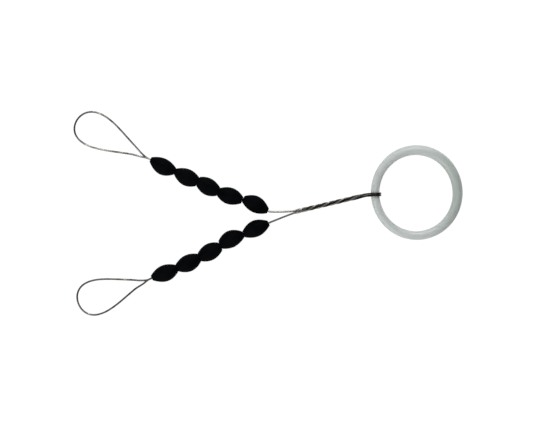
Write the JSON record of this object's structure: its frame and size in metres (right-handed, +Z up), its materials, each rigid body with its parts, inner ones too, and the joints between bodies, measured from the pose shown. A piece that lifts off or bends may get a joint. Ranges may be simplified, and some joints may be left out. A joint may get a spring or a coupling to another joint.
{
  "type": "float stop set",
  "caption": "Rows of olive-shaped rubber float stops on doubled wire with open loops, on a twisted stem wrapped round a plastic ring; the stops slide off over the loops onto a line.",
  "frame": {"origin": "bottom centre of the whole set, on the surface that it lies on", "axes": "+X from the wire loops towards the ring, +Y across the rows, +Z up from the surface"},
  "size_m": [0.0778, 0.0408, 0.0035],
  "materials": {
    "rubber": "matte black moulded rubber",
    "plastic": "milky grey-green translucent moulded plastic",
    "steel": "dark drawn steel wire, a little tarnished"
  },
  "bodies": {
    "wire": {"upper_loop": "steel", "upper_strand_a": "steel", "upper_strand_b": "steel", "lower_loop": "steel", "lower_strand_a": "steel", "lower_strand_b": "steel"},
    "ring": {"ring": "plastic"},
    "upper_stop_1": {"upper_stop_1": "rubber"},
    "upper_stop_2": {"upper_stop_2": "rubber"},
    "upper_stop_3": {"upper_stop_3": "rubber"},
    "upper_stop_4": {"upper_stop_4": "rubber"},
    "upper_stop_5": {"upper_stop_5": "rubber"},
    "lower_stop_1": {"lower_stop_1": "rubber"},
    "lower_stop_2": {"lower_stop_2": "rubber"},
    "lower_stop_3": {"lower_stop_3": "rubber"},
    "lower_stop_4": {"lower_stop_4": "rubber"},
    "lower_stop_5": {"lower_stop_5": "rubber"}
  },
  "joints": [
    {"name": "ring_swing", "type": "hinge", "parent": "wire", "child": "ring", "pos_m": [0.02139, 0.00377, 0.00167], "axis": [0.041, -0.9992, 0], "range_deg": [-160, 160]},
    {"name": "upper_stop_5_slide", "type": "slide", "parent": "wire", "child": "upper_stop_5", "axis": [-0.9157, 0.4019, 0], "range_m": [0, 0.009], "deforming": ["upper_loop"]},
    {"name": "upper_stop_4_slide", "type": "slide", "parent": "upper_stop_5", "child": "upper_stop_4", "axis": [-0.9157, 0.4019, 0], "range_m": [0, 0.0015], "deforming": ["upper_loop"]},
    {"name": "upper_stop_3_slide", "type": "slide", "parent": "upper_stop_4", "child": "upper_stop_3", "axis": [-0.9157, 0.4019, 0], "range_m": [0, 0.0015], "deforming": ["upper_loop"]},
    {"name": "upper_stop_2_slide", "type": "slide", "parent": "upper_stop_3", "child": "upper_stop_2", "axis": [-0.9157, 0.4019, 0], "range_m": [0, 0.0015], "deforming": ["upper_loop"]},
    {"name": "upper_stop_1_slide", "type": "slide", "parent": "upper_stop_2", "child": "upper_stop_1", "axis": [-0.9157, 0.4019, 0], "range_m": [0, 0.0015], "deforming": ["upper_loop"]},
    {"name": "lower_stop_5_slide", "type": "slide", "parent": "wire", "child": "lower_stop_5", "axis": [-0.9048, -0.4258, 0], "range_m": [0, 0.009], "deforming": ["lower_loop"]},
    {"name": "lower_stop_4_slide", "type": "slide", "parent": "lower_stop_5", "child": "lower_stop_4", "axis": [-0.9048, -0.4258, 0], "range_m": [0, 0.0015], "deforming": ["lower_loop"]},
    {"name": "lower_stop_3_slide", "type": "slide", "parent": "lower_stop_4", "child": "lower_stop_3", "axis": [-0.9048, -0.4258, 0], "range_m": [0, 0.0015], "deforming": ["lower_loop"]},
    {"name": "lower_stop_2_slide", "type": "slide", "parent": "lower_stop_3", "child": "lower_stop_2", "axis": [-0.9048, -0.4258, 0], "range_m": [0, 0.0015], "deforming": ["lower_loop"]},
    {"name": "lower_stop_1_slide", "type": "slide", "parent": "lower_stop_2", "child": "lower_stop_1", "axis": [-0.9048, -0.4258, 0], "range_m": [0, 0.0015], "deforming": ["lower_loop"]}
  ]
}
